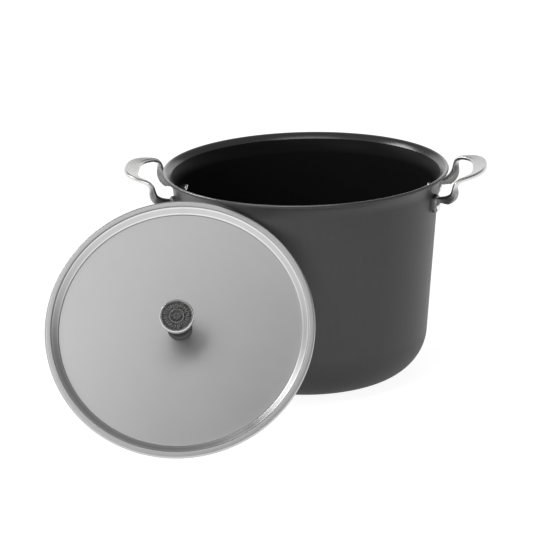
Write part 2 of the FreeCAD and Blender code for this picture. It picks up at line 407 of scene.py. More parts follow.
def remap(tree, value, given, wanted):
    """Stretch a value from one (low, high) range to another."""
    node = add_node(
        tree, "ShaderNodeMapRange",
        From_Min=given[0], From_Max=given[1], To_Min=wanted[0], To_Max=wanted[1],
    )
    link(tree, value, node.inputs["Value"])
    return node.outputs["Result"]


def rises_at(tree, value, place, margin, top=1):
    """Nothing below a place and top above it, with a soft margin either side."""
    return remap(tree, value, (place - margin, place + margin), (0, top))


def weighted(tree, first, share, second):
    """A share of the first value, and the second for the rest."""
    return maths(tree, "ADD", maths(tree, "MULTIPLY", first, share),
                 maths(tree, "MULTIPLY", second, 1 - share))


def noise(tree, vector, scale, detail=2.0, roughness=0.5):
    node = add_node(tree, "ShaderNodeTexNoise", Detail=detail, Roughness=roughness)
    if isinstance(scale, (int, float)):
        node.inputs["Scale"].default_value = scale
    else:
        link(tree, scale, node.inputs["Scale"])
    link(tree, vector, node.inputs["Vector"])
    return node.outputs["Fac"]


def colour_between(tree, share, first, second):
    node = tree.nodes.new("ShaderNodeMix")
    node.data_type = "RGBA"
    for socket, colour in (("A", first), ("B", second)):
        target = [s for s in node.inputs if s.name == socket and s.type == "RGBA"][0]
        if isinstance(colour, tuple):
            target.default_value = (*colour, 1.0)
        else:
            link(tree, colour, target)
    link(tree, share, node.inputs["Factor"])
    return [s for s in node.outputs if s.type == "RGBA"][0]


def height_of(tree, place):
    """How high a point lies along its piece's own axis."""
    split = tree.nodes.new("ShaderNodeSeparateXYZ")
    link(tree, place, split.inputs[0])
    return split.outputs["Z"]


def axis_distance(tree, place):
    """How far a point lies from its piece's own axis."""
    flat = tree.nodes.new("ShaderNodeVectorMath")
    flat.operation = "MULTIPLY"
    link(tree, place, flat.inputs[0])
    flat.inputs[1].default_value = (1, 1, 0)
    reach = tree.nodes.new("ShaderNodeVectorMath")
    reach.operation = "LENGTH"
    link(tree, flat.outputs["Vector"], reach.inputs[0])
    return reach.outputs["Value"]


def bump(tree, shader, height, strength, distance):
    node = add_node(tree, "ShaderNodeBump", Strength=strength, Distance=distance)
    link(tree, height, node.inputs["Height"])
    link(tree, node.outputs["Normal"], shader.inputs["Normal"])


# --- effects that several finishes share ---------------------------------------------
def new_group(name, inputs, outputs):
    """A node group with float or vector inputs and outputs, and its two end nodes."""
    tree = bpy.data.node_groups.new(name, "ShaderNodeTree")
    for label, kind, value in inputs:
        socket = tree.interface.new_socket(label, in_out="INPUT", socket_type=kind)
        if value is not None:
            socket.default_value = value
    for label, kind in outputs:
        tree.interface.new_socket(label, in_out="OUTPUT", socket_type=kind)
    return tree, tree.nodes.new("NodeGroupInput"), tree.nodes.new("NodeGroupOutput")


def make_patches_group():
    """Broad and middling unevenness of a finish, as a value round one half."""
    tree, given, result = new_group(
        "finish_patches", [("Vector", VECTOR, None), ("Size", FLOAT, 12.0)], [("Patches", FLOAT)]
    )
    vector, size = given.outputs["Vector"], given.outputs["Size"]
    broad = noise(tree, vector, size, detail=3.0, roughness=0.55)
    fine = noise(tree, vector, maths(tree, "MULTIPLY", size, 9.0))
    link(tree, weighted(tree, broad, 0.7, fine), result.inputs["Patches"])
    return tree


def make_turned_grain_group():
    """Fine rings about the local Z axis, as a polishing wheel or lathe leaves them."""
    tree, given, result = new_group(
        "turned_grain",
        [("Vector", VECTOR, None), ("Rings per metre", FLOAT, 3000.0)],
        [("Height", FLOAT)],
    )
    rings = given.outputs["Rings per metre"]
    split = tree.nodes.new("ShaderNodeSeparateXYZ")
    link(tree, given.outputs["Vector"], split.inputs[0])
    x, y, z = split.outputs
    radius = maths(tree, "SQRT", maths(
        tree, "ADD", maths(tree, "POWER", x, 2.0), maths(tree, "POWER", y, 2.0)
    ))
    angle = maths(tree, "ABSOLUTE", maths(tree, "ARCTAN2", y, x))
    joined = tree.nodes.new("ShaderNodeCombineXYZ")
    link(tree, maths(tree, "MULTIPLY", radius, rings), joined.inputs["X"])
    link(tree, maths(tree, "MULTIPLY", angle, 3.0), joined.inputs["Y"])
    link(tree, maths(tree, "MULTIPLY", z, rings), joined.inputs["Z"])
    grain = noise(tree, joined.outputs[0], 1.0, detail=3.0, roughness=0.6)
    link(tree, grain, result.inputs["Height"])
    return tree


def make_pits_group():
    """Close, shallow dimples of a blasted, anodised or coated surface."""
    tree, given, result = new_group(
        "fine_pits", [("Vector", VECTOR, None), ("Pits per metre", FLOAT, 1200.0)],
        [("Height", FLOAT)],
    )
    grain = noise(tree, given.outputs["Vector"], given.outputs["Pits per metre"],
                  detail=4.0, roughness=0.65)
    link(tree, grain, result.inputs["Height"])
    return tree


def make_wear_group():
    """White where edges and corners stand out, as handling rubs them bright."""
    tree, given, result = new_group(
        "edge_wear", [("Vector", VECTOR, None), ("Low", FLOAT, 0.52), ("High", FLOAT, 0.60)],
        [("Wear", FLOAT)],
    )
    shape = tree.nodes.new("ShaderNodeNewGeometry")
    unevenness = noise(tree, given.outputs["Vector"], 260.0, detail=3.0)
    broken = remap(tree, unevenness, NOISE_SPAN, (-0.02, 0.02))
    raised = maths(tree, "ADD", shape.outputs["Pointiness"], broken)
    spread = add_node(tree, "ShaderNodeMapRange")
    link(tree, raised, spread.inputs["Value"])
    link(tree, given.outputs["Low"], spread.inputs["From Min"])
    link(tree, given.outputs["High"], spread.inputs["From Max"])
    link(tree, spread.outputs["Result"], result.inputs["Wear"])
    return tree


PATCHES = make_patches_group()
TURNED_GRAIN = make_turned_grain_group()
PITS = make_pits_group()
WEAR = make_wear_group()


def place_group(tree, group, vector, **inputs):
    node = tree.nodes.new("ShaderNodeGroup")
    node.node_tree = group
    link(tree, vector, node.inputs["Vector"])
    for key, value in inputs.items():
        node.inputs[key.replace("_", " ")].default_value = value
    return node.outputs[0]


# --- finishes ------------------------------------------------------------------------
def start_material(name, metallic, specular=0.5, lean=False):
    """A material with its shader and the coordinates of the pot or, turned, of the lid."""
    material = bpy.data.materials.new(name)
    material.use_nodes = True
    tree = material.node_tree
    shader = tree.nodes["Principled BSDF"]
    shader.inputs["Metallic"].default_value = metallic
    shader.inputs["Specular IOR Level"].default_value = specular
    place = tree.nodes.new("ShaderNodeTexCoord").outputs["Object"]
    if lean:
        mapping = tree.nodes.new("ShaderNodeMapping")
        mapping.vector_type = "TEXTURE"
        mapping.inputs["Location"].default_value = LEAN_PLACE
        mapping.inputs["Rotation"].default_value = (LEAN_ANGLE, 0, 0)
        link(tree, place, mapping.inputs["Vector"])
        place = mapping.outputs["Vector"]
    return material, tree, shader, place


def anodised_finish():
    """Hard-anodised aluminium: faintly streaked up the wall, duller at the foot and darkened
    there by painted shade.
    """
    material, tree, shader, place = start_material("hard_anodised", metallic=0.25)
    patches = place_group(tree, PATCHES, place, Size=9.0)
    pits = place_group(tree, PITS, place, Pits_per_metre=1500.0)
    wear = place_group(tree, WEAR, place, Low=0.55, High=0.72)
    upright = tree.nodes.new("ShaderNodeMapping")
    upright.inputs["Scale"].default_value = (1, 1, 0.12)
    link(tree, place, upright.inputs["Vector"])
    streaks = place_group(tree, PATCHES, upright.outputs["Vector"], Size=22.0)
    tone = weighted(tree, patches, 0.45, streaks)
    clouded = colour_between(tree, remap(tree, tone, STREAK_SPAN, (0, 1)),
                             (0.067, 0.067, 0.068), (0.091, 0.091, 0.092))
    worn = colour_between(tree, maths(tree, "MULTIPLY", wear, 0.6), clouded, grey(0.16))
    # painted shade near the floor: the colour darkens towards the foot
    foot = remap(tree, height_of(tree, place), (0.0, FOOT_SHADE_HEIGHT), (1.0, 0.0))
    colour = colour_between(tree, maths(tree, "MULTIPLY", foot, 0.65), worn, grey(0.02))
    satin = remap(tree, tone, STREAK_SPAN, (0.42, 0.50))
    rough = maths(tree, "ADD", satin, maths(tree, "MULTIPLY", foot, 0.25))
    link(tree, colour, shader.inputs["Base Color"])
    link(tree, rough, shader.inputs["Roughness"])
    bump(tree, shader, pits, strength=0.12, distance=0.0002)
    return material


def nonstick_finish():
    """Black nonstick coating with its fine orange-peel."""
    material, tree, shader, place = start_material("black_nonstick", metallic=0.0, specular=0.06)
    patches = place_group(tree, PATCHES, place, Size=14.0)
    pits = place_group(tree, PITS, place, Pits_per_metre=500.0)
    link(tree, colour_between(tree, patches, grey(0.010), grey(0.015)),
         shader.inputs["Base Color"])
    link(tree, remap(tree, patches, NOISE_SPAN, (0.38, 0.46)), shader.inputs["Roughness"])
    bump(tree, shader, pits, strength=0.15, distance=0.0003)
    return material


def flare_finish():
    """The flare's upper face: the same anodising, burnished, with its lip painted brighter:
    rubbed metal and a painted highlight along the edge.
    """
    material, tree, shader, place = start_material("burnished_flare", metallic=0.85)
    patches = place_group(tree, PATCHES, place, Size=12.0)
    rings = place_group(tree, TURNED_GRAIN, place, Rings_per_metre=1800.0)
    base = colour_between(tree, patches, grey(0.11), grey(0.15))
    # painted highlight along the lip, on metal taken as rubbed there
    lip = rises_at(tree, axis_distance(tree, place), LIP_START, 0.0003, top=0.6)
    link(tree, colour_between(tree, lip, base, grey(0.45)), shader.inputs["Base Color"])
    grain = weighted(tree, patches, 0.5, rings)
    link(tree, remap(tree, grain, NOISE_SPAN, (0.19, 0.27)), shader.inputs["Roughness"])
    bump(tree, shader, rings, strength=0.05, distance=0.0001)
    return material


def sheet_finish():
    """Satin stainless sheet; its pressed step is painted brighter, with painted highlights by its
    bends and painted shade in the two creases.
    """
    material, tree, shader, place = start_material("satin_lid_sheet", metallic=1.0, lean=True)
    patches = place_group(tree, PATCHES, place, Size=11.0)
    rings = place_group(tree, TURNED_GRAIN, place, Rings_per_metre=2600.0)
    step = ((STEP_INSIDE - STEP_MARGIN) * MM, (STEP_OUTSIDE + STEP_MARGIN) * MM)
    across = remap(tree, axis_distance(tree, place), step, (0, 1))
    # painted light: the ramp paints shade into the step's creases and highlights beside them
    ramp = tree.nodes.new("ShaderNodeValToRGB")
    stops = ramp.color_ramp.elements
    for place_across, level in STEP_PAINTED_LIGHT:
        stops.new(place_across).color = (*grey(level), 1)
    for spare in (stops[0], stops[-1]):
        spare.color = (*grey(SHEET_POLISH), 1)
    link(tree, across, ramp.inputs["Fac"])
    clouds = remap(tree, patches, (0.0, 1.0), (-0.045, 0.045))
    painted_step_light_and_clouds = maths(tree, "ADD", ramp.outputs["Color"], clouds)
    link(tree, colour_between(tree, painted_step_light_and_clouds, grey(0.22), grey(0.92)), shader.inputs["Base Color"])
    grain = weighted(tree, patches, 0.5, rings)
    link(tree, remap(tree, grain, NOISE_SPAN, (0.36, 0.46)), shader.inputs["Roughness"])
    bump(tree, shader, rings, strength=0.05, distance=0.0001)
    return material


def cast_finish():
    """Cast stainless: grip brushed and painted bright, legs duller in painted shade, feet in the
    darkest painted shade, edges rubbed.
    """
    material, tree, shader, place = start_material("cast_satin_steel", metallic=1.0)
    patches = place_group(tree, PATCHES, place, Size=24.0)
    pits = place_group(tree, PITS, place, Pits_per_metre=1400.0)
    wear = place_group(tree, WEAR, place, Low=0.51, High=0.60)
    ragged = remap(tree, patches, NOISE_SPAN, (-0.004, 0.004))
    height = maths(tree, "ADD", height_of(tree, place), ragged)
    # painted light and shade on one casting: darkest on the pads, darker on the legs, a painted
    # highlight on the grip
    pad = colour_between(tree, patches, grey(0.13), grey(0.17))
    leg_in_painted_shade = colour_between(tree, patches, grey(0.24), (0.30, 0.30, 0.298))
    grip_painted_bright = colour_between(tree, patches, (0.68, 0.68, 0.675), (0.76, 0.76, 0.755))
    above_pads = rises_at(tree, height, LEG_FOOT, 0.003)
    brushed_and_painted_bright = rises_at(tree, height, LEG_TOP, 0.004)
    base = colour_between(tree, brushed_and_painted_bright, colour_between(tree, above_pads, pad, leg_in_painted_shade), grip_painted_bright)
    rubbed = maths(tree, "MULTIPLY", wear, 0.6)
    link(tree, colour_between(tree, rubbed, base, (0.80, 0.80, 0.79)),
         shader.inputs["Base Color"])
    satin = remap(tree, patches, NOISE_SPAN, (0.0, 0.08))
    rough = maths(tree, "ADD", satin, remap(tree, brushed_and_painted_bright, (0, 1), (0.34, 0.24)))
    link(tree, rough, shader.inputs["Roughness"])
    bump(tree, shader, pits, strength=0.06, distance=0.0001)
    return material


def polished_finish(name, tint, roughness, lean=False, shade_under_cap=None):
    """Turned or headed stainless steel; a knob's waist under its cap may be given painted shade.
    """
    material, tree, shader, place = start_material(name, metallic=1.0, lean=lean)
    patches = place_group(tree, PATCHES, place, Size=60.0)
    rings = place_group(tree, TURNED_GRAIN, place, Rings_per_metre=3500.0)
    wear = place_group(tree, WEAR, place, Low=0.52, High=0.62)
    base = colour_between(tree, patches, grey(tint * 0.92), grey(tint))
    bright = colour_between(tree, wear, base, grey(min(1.0, tint * 1.2)))
    # painted shade on the knob's waist, under its cap
    if shade_under_cap is not None:
        shaded = colour_between(tree, patches, grey(shade_under_cap * 0.85), grey(shade_under_cap))
        cap = rises_at(tree, height_of(tree, place), CAP_FOOT * MM, 0.002)
        bright = colour_between(tree, cap, shaded, bright)
    link(tree, bright, shader.inputs["Base Color"])
    link(tree, remap(tree, rings, NOISE_SPAN, roughness), shader.inputs["Roughness"])
    bump(tree, shader, rings, strength=0.04, distance=0.0001)
    return material


def hammered_finish():
    """Darkened steel with small, shallow hammer marks; what stands up is rubbed bright."""
    material, tree, shader, place = start_material("hammered_medallion", metallic=1.0, lean=True)
    marks = add_node(tree, "ShaderNodeTexVoronoi", Scale=620.0)
    marks.feature = "SMOOTH_F1"
    link(tree, place, marks.inputs["Vector"])
    patches = place_group(tree, PATCHES, place, Size=160.0)
    ground = MEDALLION_FIELD * MM
    raised = remap(tree, height_of(tree, place), (ground + 0.00015, ground + 0.0003), (0, 1))
    stains = maths(tree, "ADD", marks.outputs["Distance"], patches)
    field = colour_between(tree, remap(tree, stains, (0.5, 1.2), (0, 1)), grey(0.14), grey(0.05))
    link(tree, colour_between(tree, raised, field, (0.24, 0.24, 0.235)),
         shader.inputs["Base Color"])
    link(tree, remap(tree, patches, NOISE_SPAN, (0.22, 0.36)), shader.inputs["Roughness"])
    bump(tree, shader, marks.outputs["Distance"], strength=0.45, distance=0.0004)
    return material


ANODISED = anodised_finish()
NONSTICK = nonstick_finish()
FLARE_FINISH = flare_finish()
LID_SHEET = sheet_finish()
CAST_STEEL = cast_finish()
KNOB_STEEL = polished_finish("turned_knob_steel", 0.66, (0.18, 0.28), lean=True, shade_under_cap=0.07)
RIVET_STEEL = polished_finish("rivet_steel", 0.80, (0.14, 0.24))
SCREW_STEEL = polished_finish("screw_steel", 0.52, (0.24, 0.34), lean=True)
MEDALLION_STEEL = hammered_finish()


# --- pot -----------------------------------------------------------------------------
def crossing(first, second):
    """Where two lines of the section meet."""
    (ax, az), (bx, bz) = first
    (cx, cz), (dx, dz) = second
    ux, uz, vx, vz = bx - ax, bz - az, dx - cx, dz - cz
    share = ((cx - ax) * vz - (cz - az) * vx) / (ux * vz - uz * vx)
    return ax + share * ux, az + share * uz


def offset_line(line, distance):
    """A line of the section, moved square to itself towards its left."""
    (ax, az), (bx, bz) = line
    length = math.hypot(bx - ax, bz - az)
    shift_x = -(bz - az) / length * distance
    shift_z = (bx - ax) / length * distance
    return (ax + shift_x, az + shift_z), (bx + shift_x, bz + shift_z)


def wall_radius(height):
    """The outer wall's radius at a height."""
    return FOOT_RADIUS + (NECK_RADIUS - FOOT_RADIUS) * height / NECK_HEIGHT


WALL_LINE = ((FOOT_RADIUS, 0), (NECK_RADIUS, NECK_HEIGHT))
FLARE_LINE = ((NECK_RADIUS, NECK_HEIGHT), (RIM_RADIUS, LIP_HEIGHT))
INNER_WALL = offset_line(WALL_LINE, WALL)
INNER_FLARE = offset_line(FLARE_LINE, LIP)
INNER_FOOT = crossing(INNER_WALL, ((0, BASE), (FOOT_RADIUS, BASE)))
INNER_NECK = crossing(INNER_WALL, INNER_FLARE)
COATING_TOP = INNER_NECK[1] + COATING_RISE


def place_and_aim(face):
    """A face's middle in millimetres, and whether it looks towards the pot's axis."""
    middle = face.calc_center_median() / MM
    outward = face.normal.x * middle.x + face.normal.y * middle.y
    return middle, outward < 0


def is_coated(face):
    """The inside of the wall, and the upper face of the base."""
    middle, looks_in = place_and_aim(face)
    if middle.z < BASE - 0.1 or middle.z > COATING_TOP:
        return False
    radius = math.hypot(middle.x, middle.y)
    return looks_in or (radius < FOOT_RADIUS - WALL and face.normal.z > 0.5)


def is_burnished(face):
    """The upper face of the flare, and the lip's edge as far as LIP_TURN."""
    middle, looks_in = place_and_aim(face)
    return COATING_TOP < middle.z and (looks_in or face.normal.z > LIP_TURN)


def model_pot():
    """Spin the pot's section, then give its inside the coating and its flare the burnish."""
    pot = turned("kettle_pot", [
        (0, 0, 0),
        (FOOT_RADIUS, 0, FOOT_ROUND),
        (NECK_RADIUS, NECK_HEIGHT, NECK_ROUND),
        (RIM_RADIUS, LIP_HEIGHT, LIP_ROUND),
        (*INNER_FLARE[1], LIP_ROUND),
        (*INNER_NECK, NECK_ROUND + WALL),
        (*INNER_FOOT, FOOT_ROUND - WALL),
        (0, BASE, 0),
    ], segments=192, steps=12)
    dress(pot, ANODISED, NONSTICK, FLARE_FINISH)
    edit(pot, "FACE")
    for slot, test in ((1, is_coated), (2, is_burnished)):
        pick(test, "faces")
        pot.active_material_index = slot
        bpy.ops.object.material_slot_assign()
    leave_edit()
    belongs(pot, "kettle", "pot", "kettle_body")


# --- rivets --------------------------------------------------------------------------
def rivet_frame(azimuth):
    """On the outer wall at a rivet: local Z out of the wall, local Y up along it."""
    height = KETTLE_HEIGHT - RIVET_DROP
    direction = Vector((math.cos(azimuth), math.sin(azimuth), 0))
    up = Vector((0, 0, 1))
    outward = direction * math.cos(WALL_TILT) - up * math.sin(WALL_TILT)
    upward = direction * math.sin(WALL_TILT) + up * math.cos(WALL_TILT)
    sideways = upward.cross(outward)
    place = (direction * wall_radius(height) + up * height) * MM
    turn = Matrix((sideways, upward, outward)).transposed().to_4x4()
    return Matrix.Translation(place) @ turn


def model_rivets():
    """One rivet, headed outside the pad and inside the wall, copied to all four places."""
    outer_radius, outer_height = OUTER_HEAD
    inner_radius, inner_height = INNER_HEAD
    inside = -WALL
    outside = PAD["thickness"]
    model = turned("rivet_model", [
        (0, inside - inner_height, 0),
        (inner_radius, inside - inner_height, inner_height - HEAD_EDGE),
        (inner_radius, inside, 0),
        (RIVET_RADIUS, inside, 0),
        (RIVET_RADIUS, outside, 0),
        (outer_radius, outside, 0.15),
        (outer_radius, outside + outer_height, outer_height - HEAD_EDGE),
        (0, outside + outer_height, 0),
    ], segments=48, steps=6)
    for side, side_name in ((-1, "left"), (1, "right")):
        middle = 0 if side > 0 else math.pi
        spread = FOOT_SPREAD * side
        for end, end_name in ((-1, "front"), (1, "back")):
            node = f"{side_name}_{end_name}_rivet"
            rivet = own_copy(model, f"{node}_head")
            settle(rivet, rivet_frame(middle + end * spread))
            dress(rivet, RIVET_STEEL)
            belongs(rivet, "kettle", "rivet", node)
    bpy.data.objects.remove(model)


# --- handles -------------------------------------------------------------------------
def strap_stations():
    """Half the strap from grip to foot, in metres: (place, form)."""
    foot = rivet_frame(FOOT_SPREAD)
    lifted = [
        Vector((RIM_RADIUS + x, y, KETTLE_HEIGHT + z)) * MM
        for x, y, z in (GRIP, SIDE, SHOULDER, KNEE)
    ]
    ankle = foot @ (Vector((0, ANKLE_RISE, PAD["thickness"] + ANKLE_GAP)) * MM)
    landing = foot @ (Vector((0, LANDING_RISE, PAD["thickness"] / 2)) * MM)
    return list(zip(lifted + [ankle, landing], STRAP_FORM))


def curve_through(values, knots, at):
    """A natural cubic curve through values at their knots, evaluated at one place."""
    count = len(values)
    gaps = [b - a for a, b in zip(knots, knots[1:])]
    slopes = [(b - a) / gap for a, b, gap in zip(values, values[1:], gaps)]
    lower, diagonal, right = [0.0] * count, [1.0] * count, [0.0] * count
    upper = [0.0] * count
    for i in range(1, count - 1):
        lower[i], diagonal[i], upper[i] = gaps[i - 1], 2 * (gaps[i - 1] + gaps[i]), gaps[i]
        right[i] = 6 * (slopes[i] - slopes[i - 1])
    for i in range(1, count):
        factor = lower[i] / diagonal[i - 1]
        diagonal[i] -= factor * upper[i - 1]
        right[i] -= factor * right[i - 1]
    bend = [0.0] * count
    for i in range(count - 2, 0, -1):
        bend[i] = (right[i] - upper[i] * bend[i + 1]) / diagonal[i]
    span = max(i for i in range(count - 1) if knots[i] <= at or i == 0)
    gap, u = gaps[span], at - knots[span]
    return (
        values[span]
        + u * (slopes[span] - gap * (2 * bend[span] + bend[span + 1]) / 6)
        + u * u * bend[span] / 2
        + u ** 3 * (bend[span + 1] - bend[span]) / (6 * gap)
    )


def strap_sections(count):
    """Evenly spread sections of the whole strap: (place, direction, form)."""
    half = strap_stations()
    mirrored = [
        (Vector((place.x, -place.y, place.z)), (width, thickness, dish, -facing))
        for place, (width, thickness, dish, facing) in half[:0:-1]
    ]
    stations = mirrored + half
    knots = [0.0]
    for (here, _), (there, _) in zip(stations, stations[1:]):
        knots.append(knots[-1] + (there - here).length)
    tracks = [[station[0][axis] for station in stations] for axis in range(3)]
    forms = [[station[1][item] for station in stations] for item in range(4)]
    step = 1e-4

    def place_at(distance):
        return Vector([curve_through(track, knots, distance) for track in tracks])

    sections = []
    for index in range(count):
        at = knots[-1] * index / (count - 1)
        ahead = place_at(min(at + step, knots[-1]))
        behind = place_at(max(at - step, 0.0))
        form = [curve_through(values, knots, at) for values in forms]
        sections.append((place_at(at), (ahead - behind).normalized(), form))
    return sections


def strap_ring(place, along, form):
    """One rounded rectangle of the strap, drawn flat and carried to its place."""
    width, thickness, dish, facing = form
    ring = start_square()
    bpy.ops.transform.resize(value=(width * MM, thickness * MM, 1))
    bpy.ops.mesh.bevel(offset=STRAP_ROUND * MM, segments=5, affect="VERTICES")
    bpy.ops.mesh.delete(type="ONLY_FACE")
    leave_edit()
    outer = Vector((math.cos(math.radians(facing)), math.sin(math.radians(facing)), 0))
    across = (outer - along * along.dot(outer)).normalized()
    across = Matrix.Rotation(-math.radians(dish), 3, along) @ across
    normal = across.cross(along)
    turn = Matrix((across, normal, along)).transposed().to_4x4()
    return settle(ring, Matrix.Translation(place) @ turn)


def model_strap():
    """Bridge ring after ring from foot to foot, then close the two ends."""
    rings = [strap_ring(*section) for section in strap_sections(STRAP_SECTIONS)]
    ring_size = len(rings[0].data.vertices)
    strap = join(rings, "strap")
    edit(strap)
    for index in range(STRAP_SECTIONS - 1):
        first = index * ring_size
        pick(lambda vertex: first <= vertex.index < first + 2 * ring_size)
        bpy.ops.mesh.bridge_edge_loops()
    for first in (0, (STRAP_SECTIONS - 1) * ring_size):
        pick(lambda vertex: first <= vertex.index < first + ring_size)
        bpy.ops.mesh.edge_face_add()
    face_outwards()
    return strap


def model_pad(azimuth):
    """The foot's oval pad, extruded out of the wall, its front edge rounded."""
    pad = start_square()
    height = PAD["above"] + PAD["below"]
    front = PAD["thickness"] * MM
    edge_round = PAD["edge"] * MM
    bpy.ops.transform.resize(value=(PAD["width"] * MM, height * MM, 1))
    bpy.ops.transform.translate(
        value=(0, (PAD["above"] - PAD["below"]) / 2 * MM, -WALL / 2 * MM)
    )
    bpy.ops.mesh.bevel(offset=PAD["round"] * MM, segments=10, affect="VERTICES")
    pick(lambda face: True, "faces")
    for rise in ((PAD["thickness"] + WALL / 2 - PAD["edge"]) * MM, edge_round):
        bpy.ops.mesh.extrude_region_move(TRANSFORM_OT_translate={"value": (0, 0, rise)})
    pick(lambda edge: all(abs(vertex.co.z - front) < 1e-7 for vertex in edge.verts), "edges")
    # a little less than the last rise, so that the rounding stops short of the ring below
    bpy.ops.mesh.bevel(offset=edge_round * 0.98, segments=4, affect="EDGES")
    face_outwards()
    return settle(pad, rivet_frame(azimuth))


def rivet_access(azimuth):
    """The round clearing in the leg over a rivet's head."""
    radius, height = OUTER_HEAD
    reach = 4 * height
    deselect_all()
    bpy.ops.mesh.primitive_cylinder_add(
        vertices=64, radius=(radius + HEAD_ACCESS) * MM, depth=reach * MM,
        location=(0, 0, (PAD["thickness"] + reach / 2) * MM),
    )
    clearing = apply_place(bpy.context.object)
    return settle(clearing, rivet_frame(azimuth))


def wall_plug():
    """The pot's outer wall round the feet, to seat the pads on it."""
    low, high = SEAT_SPAN
    deselect_all()
    bpy.ops.mesh.primitive_cone_add(
        vertices=720, radius1=wall_radius(low) * MM, radius2=wall_radius(high) * MM,
        depth=(high - low) * MM, location=(0, 0, (low + high) / 2 * MM),
    )
    return apply_place(bpy.context.object)


def model_handles():
    """Cast each loop as one body: strap and pads melted together, then seated on the wall."""
    feet = (-FOOT_SPREAD, FOOT_SPREAD)
    strap = model_strap()
    for azimuth in feet:
        cut_away(strap, rivet_access(azimuth))
    casting = join([strap] + [model_pad(azimuth) for azimuth in feet], "right_handle_casting")
    apply_modifier(casting, "REMESH", mode="VOXEL", voxel_size=CASTING_VOXEL * MM, adaptivity=0.0)
    apply_modifier(casting, "SMOOTH", factor=0.5, iterations=12)
    cut_away(casting, wall_plug())
    smooth_below(casting, degrees=40)
    twin = own_copy(casting, "left_handle_casting")
    settle(twin, Matrix.Rotation(math.pi, 4, "Z"))
    for piece, node in ((casting, "right_handle"), (twin, "left_handle")):
        dress(piece, CAST_STEEL)
        belongs(piece, "kettle", "handle", node)


# --- lid and knob --------------------------------------------------------------------
LEAN = Matrix.Translation(LEAN_PLACE) @ Matrix.Rotation(LEAN_ANGLE, 4, "X")


def model_lid_sheet():
    """Spin the sheet's section: crowned dish, pressed step, flat flange, turned-down hem."""
    outer_bend = SHEET_BEND + SHEET
    crown_half = (STEP_INSIDE - KNOB_SEAT) / 2
    crown_angle = math.atan2(CROWN_HEIGHT, crown_half)
    crown_round = (crown_half - 2 * outer_bend) / math.tan(crown_angle / 2)
    line = [
        (SCREW_HOLE, DISH_MIDDLE), (KNOB_SEAT + crown_half, DISH_MIDDLE),
        (STEP_INSIDE, -DISH_DEPTH), (STEP_OUTSIDE, 0), (LID_RADIUS, 0), (LID_RADIUS, -HEM_DROP),
    ]
    lines = [offset_line(pair, -SHEET) for pair in zip(line, line[1:])]
    under = [lines[0][0]] + [crossing(*pair) for pair in zip(lines, lines[1:])] + [lines[-1][1]]
    top_rounds = [0, crown_round, SHEET_BEND, outer_bend, HEM_BEND + SHEET, HEM_EDGE]
    under_rounds = [0, crown_round - SHEET, outer_bend, SHEET_BEND, HEM_BEND, HEM_EDGE]
    corners = [(x, z, r) for (x, z), r in zip(line, top_rounds)]
    corners += [(x, z, r) for (x, z), r in zip(under[::-1], under_rounds[::-1])]
    sheet = turned("lid_sheet", corners, segments=256, closed=True, steps=10)
    settle(sheet, LEAN)
    dress(sheet, LID_SHEET)
    belongs(sheet, "lid", "lid_sheet", "lid_pan")


def model_knob():
    """Turn the knob: a foot, a waist and a flared cap with a recess for the medallion."""
    base_radius, base_height = KNOB_BASE
    cap_low = KNOB_HEIGHT - CAP_HEIGHT
    border = CAP_RADIUS - CAP_BEVEL
    recess = border - CAP_BORDER
    knob = turned("knob_body", [
        (0, BORE_TOP, 0),
        (SCREW_HOLE, BORE_TOP, 0),
        (SCREW_HOLE, 0, 0),
        (base_radius, 0, 0.2),
        (base_radius, base_height, 0.8),
        (KNOB_WAIST, base_height + base_radius - KNOB_WAIST, 9.0),
        (KNOB_WAIST, cap_low - CAP_UNDERSIDE, 9.0),
        (CAP_RADIUS, cap_low, 0.5),
        (CAP_RADIUS, KNOB_HEIGHT - CAP_BEVEL, 0.5),
        (border, KNOB_HEIGHT, 0.25),
        (recess, KNOB_HEIGHT, 0.15),
        (recess, KNOB_HEIGHT - RECESS, 0),
        (0, KNOB_HEIGHT - RECESS, 0),
    ], segments=96, steps=6)
    settle(knob, LEAN @ Matrix.Translation((0, 0, DISH_MIDDLE * MM)))
    dress(knob, KNOB_STEEL)
    belongs(knob, "lid", "knob", "lid_knob")


def medallion_bar(azimuth):
    """One short raised bar of the medallion's ring, its edges eased."""
    middle = MEDALLION_FIELD + BAR_SIZE[2] / 2 - BAR_SUNK
    bar = start_block(BAR_SIZE, (BAR_CIRCLE, 0, middle))
    edit(bar)
    select_mesh()
    bpy.ops.mesh.bevel(offset=BAR_EDGE * MM, segments=2, affect="EDGES")
    leave_edit()
    return settle(bar, Matrix.Rotation(azimuth, 4, "Z"))


def model_medallion():
    """A turned disc: raised border, a ring of short bars and a plain ringed middle."""
    border = MEDALLION_RADIUS - MEDALLION_BORDER
    corners = [
        (0, MEDALLION_FOOT, 0), (MEDALLION_RADIUS, MEDALLION_FOOT, 0),
        (MEDALLION_RADIUS, MEDALLION_TOP, 0.3), (border, MEDALLION_TOP, 0.15),
        (border, MEDALLION_FIELD, 0),
    ]
    for outer_foot, outer_crest, inner_crest, inner_foot in MEDALLION_RINGS:
        corners += [
            (outer_foot, MEDALLION_FIELD, 0), (outer_crest, MEDALLION_CREST, 0.1),
            (inner_crest, MEDALLION_CREST, 0.1), (inner_foot, MEDALLION_FIELD, 0),
        ]
    corners.append((0, MEDALLION_FIELD, 0))
    disc = turned("medallion_disc", corners, segments=72, steps=4)
    bars = [medallion_bar(math.tau * index / BAR_COUNT) for index in range(BAR_COUNT)]
    disc = join([disc] + bars, "medallion_disc")
    settle(disc, LEAN)
    dress(disc, MEDALLION_STEEL)
    belongs(disc, "lid", "medallion", "knob_medallion")


